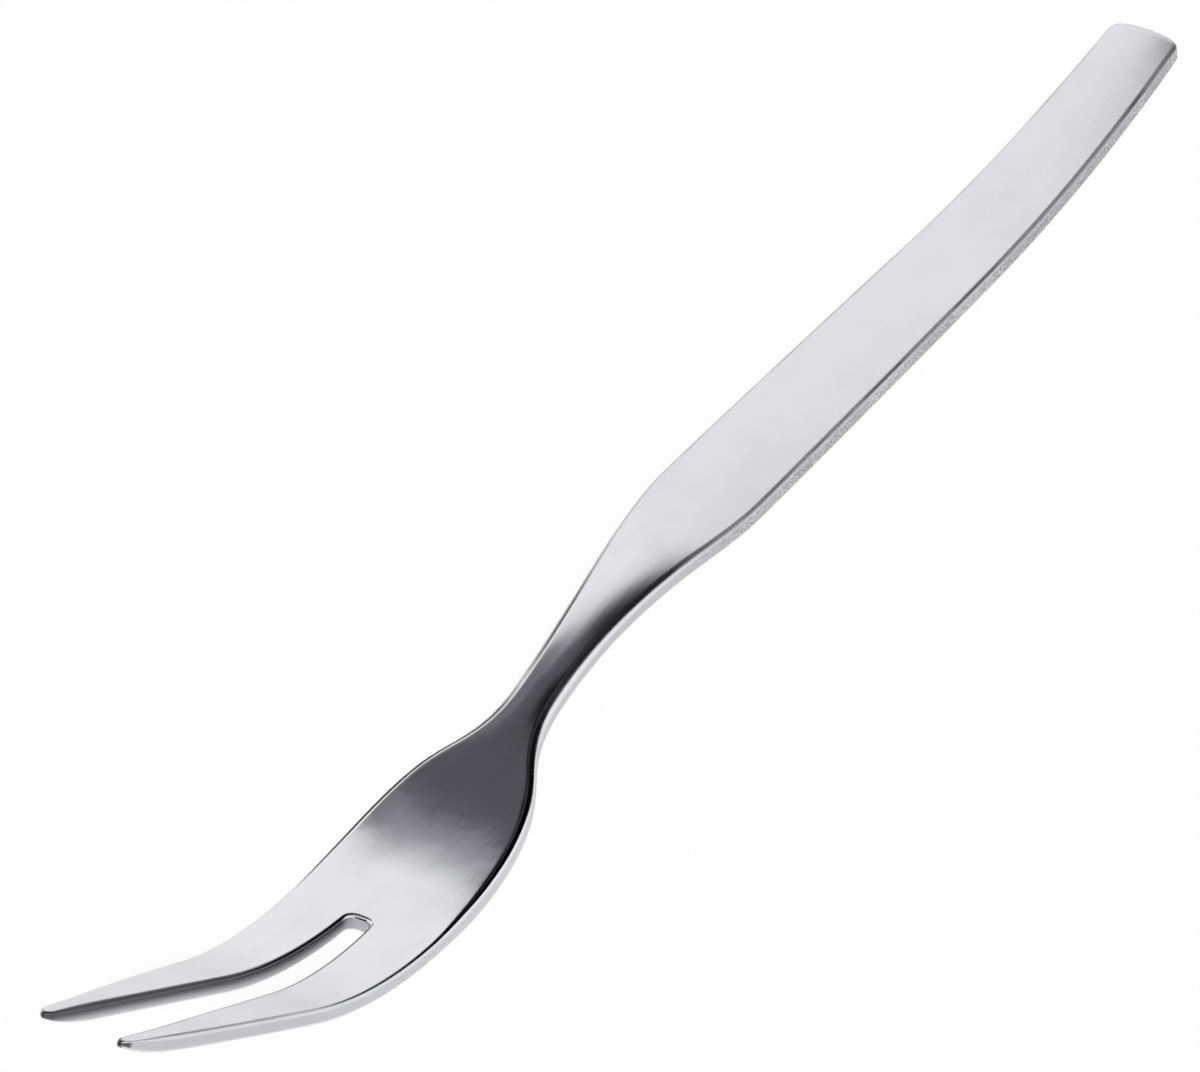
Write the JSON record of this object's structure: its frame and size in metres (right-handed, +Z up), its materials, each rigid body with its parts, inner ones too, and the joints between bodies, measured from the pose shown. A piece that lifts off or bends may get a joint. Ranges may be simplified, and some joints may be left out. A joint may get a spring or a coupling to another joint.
{
  "type": "cold meat fork",
  "caption": "One-piece pressed steel serving fork with long straight tines, a shallow bowl, a slim neck and a flat tapering handle, for lifting slices of cold meat.",
  "frame": {"origin": "on the table, under the middle of the fork's length and on its centre line", "axes": "+X from the tine tips to the end of the handle, +Y across the width, +Z up with the hollow of the bowl facing up"},
  "size_m": [0.1892, 0.0146, 0.0238],
  "materials": {
    "satin_steel": "polished to a soft satin"
  },
  "bodies": {
    "root": {"fork": "satin_steel"}
  },
  "joints": []
}
